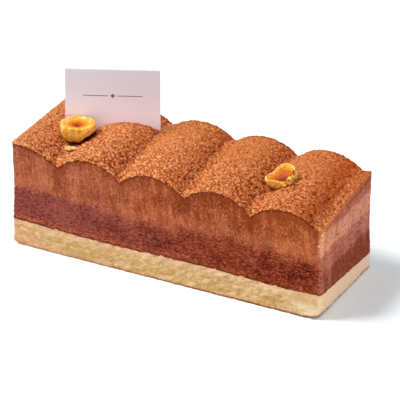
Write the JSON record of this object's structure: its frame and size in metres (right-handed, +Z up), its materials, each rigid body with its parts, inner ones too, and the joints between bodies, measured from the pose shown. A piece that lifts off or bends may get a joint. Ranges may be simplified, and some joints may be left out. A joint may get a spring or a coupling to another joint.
{
  "type": "opera cake",
  "caption": "Bar-shaped opera cake with a sponge base, dark and light chocolate mousse layers, a wavy cocoa-dusted top, hazelnut pieces and a small upright card.",
  "frame": {"origin": "middle of the footprint, on the surface the cake rests on", "axes": "+X along the bar towards the end with the last valley, +Y across it towards the back, +Z up"},
  "size_m": [0.12, 0.042, 0.0626],
  "materials": {
    "sponge": "porous baked sponge, matte",
    "dark_mousse": "dense dark chocolate mousse, cut face with pits, satin",
    "light_mousse": "light chocolate mousse, knife-drawn cut face, satin",
    "cocoa": "dry cocoa powder, grainy and matte",
    "hazelnut": "roasted, lightly oiled nut, satin",
    "card": "smooth uncoated card, matte"
  },
  "bodies": {
    "root": {"sponge_base": "sponge", "dark_mousse": "dark_mousse", "light_mousse": "light_mousse", "cocoa_dusting": "cocoa", "hazelnut_left": "hazelnut", "hazelnut_right": "hazelnut", "card": "card"}
  },
  "joints": []
}
